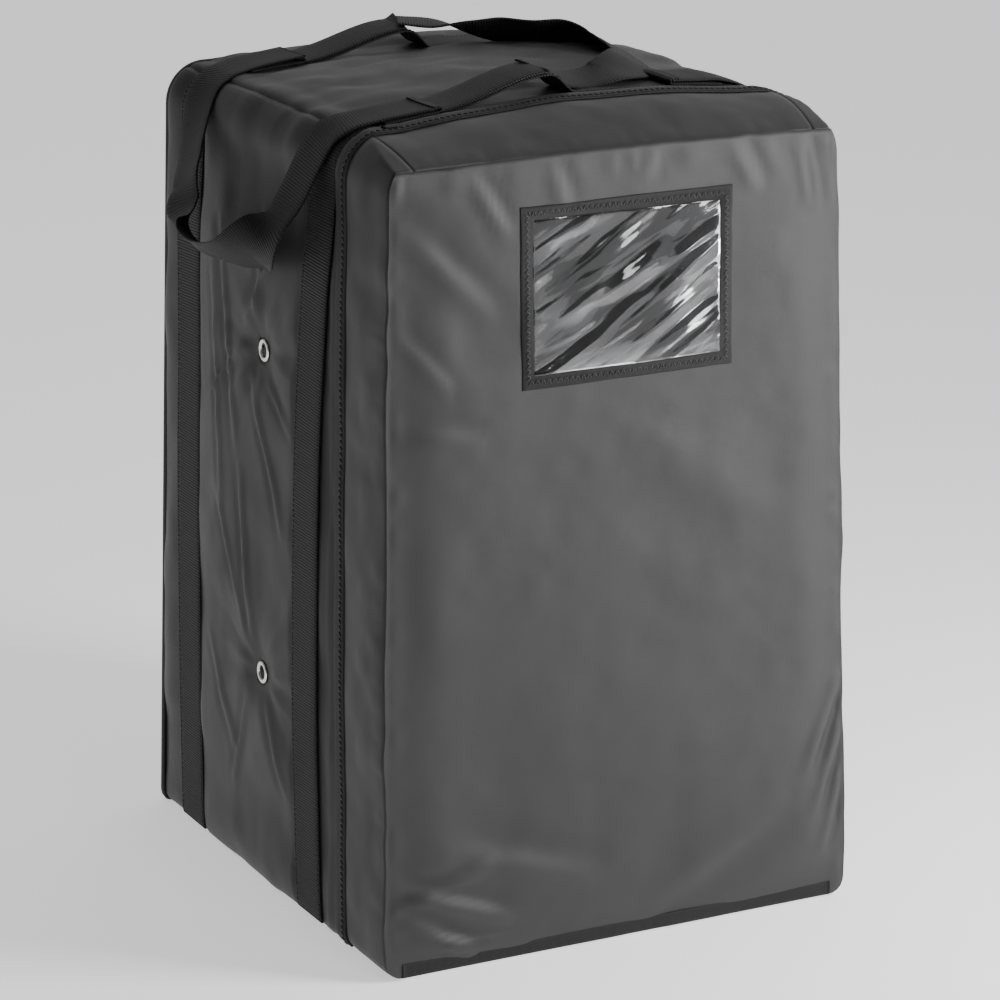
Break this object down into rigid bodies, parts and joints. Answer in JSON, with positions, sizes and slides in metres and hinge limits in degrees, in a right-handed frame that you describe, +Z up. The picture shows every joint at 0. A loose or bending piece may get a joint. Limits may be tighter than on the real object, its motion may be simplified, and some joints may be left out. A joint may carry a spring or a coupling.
{
  "type": "insulated food carrier",
  "caption": "Tall soft-sided insulated carrier with a front flap on a top hinge, clear card window, webbing straps, folding side and top handles and vented sides.",
  "frame": {"origin": "on the floor, under the middle of the whole carrier's box", "axes": "+Z up, the flap faces -Y, +X is to the right seen from the front"},
  "size_m": [0.5108, 0.4658, 0.6992],
  "materials": {
    "shell_fabric": "dark charcoal coated nylon, soft sheen",
    "foam": "closed-cell insulation foam, matt",
    "liner": "wipe-clean silver-grey coated liner",
    "board": "stiff plastic board",
    "eyelet_metal": "bright plated metal",
    "webbing": "black ribbed webbing",
    "closure_tape": "black hook and loop tape",
    "clear_film": "clear flexible film, glossy and crinkled",
    "binding": "black grosgrain binding, zigzag stitched"
  },
  "bodies": {
    "carrier": {"outer_top": "shell_fabric", "outer_bottom": "shell_fabric", "outer_left": "shell_fabric", "outer_right": "shell_fabric", "outer_back": "shell_fabric", "foam_top": "foam", "foam_bottom": "foam", "foam_left": "foam", "foam_right": "foam", "foam_back": "foam", "liner_top": "liner", "liner_bottom": "liner", "liner_left": "liner", "liner_right": "liner", "liner_back": "liner", "base_board": "board", "eyelets_left": "eyelet_metal", "eyelets_right": "eyelet_metal", "eyelet_washers_left": "eyelet_metal", "eyelet_washers_right": "eyelet_metal", "mouth_binding": "binding", "back_piping": "binding", "strap_front": "webbing", "strap_back": "webbing", "hinge_tape": "shell_fabric", "handle_ends_left": "webbing", "handle_ends_right": "webbing", "handle_ends_top": "webbing", "loop_strip_top": "closure_tape", "loop_strip_left": "closure_tape", "loop_strip_right": "closure_tape"},
    "door": {"door_face": "shell_fabric", "door_foam": "foam", "door_liner": "liner", "door_gusset_left": "shell_fabric", "door_gusset_right": "shell_fabric", "door_gusset_top": "shell_fabric", "door_rim_binding": "binding", "door_bottom_binding": "binding", "window_frame": "binding", "window_film": "clear_film", "hook_strip_top": "closure_tape", "hook_strip_left": "closure_tape", "hook_strip_right": "closure_tape"},
    "handle_left": {"handle_left": "webbing"},
    "handle_right": {"handle_right": "webbing"},
    "handle_top": {"handle_top": "webbing"}
  },
  "joints": [
    {"name": "door_hinge", "type": "hinge", "parent": "carrier", "child": "door", "pos_m": [0, -0.1285, 0.6594], "axis": [-1, 0, 0], "range_deg": [0, 100]},
    {"name": "handle_left_swing", "type": "hinge", "parent": "carrier", "child": "handle_left", "pos_m": [-0.105, 0.0325, 0.6616], "axis": [0, 1, 0], "range_deg": [0, 100]},
    {"name": "handle_right_swing", "type": "hinge", "parent": "carrier", "child": "handle_right", "pos_m": [0.105, 0.0325, 0.6616], "axis": [0, -1, 0], "range_deg": [0, 100]},
    {"name": "handle_top_swing", "type": "hinge", "parent": "carrier", "child": "handle_top", "pos_m": [-0.005, 0.0325, 0.6676], "axis": [0, -1, 0], "range_deg": [0, 120]}
  ]
}
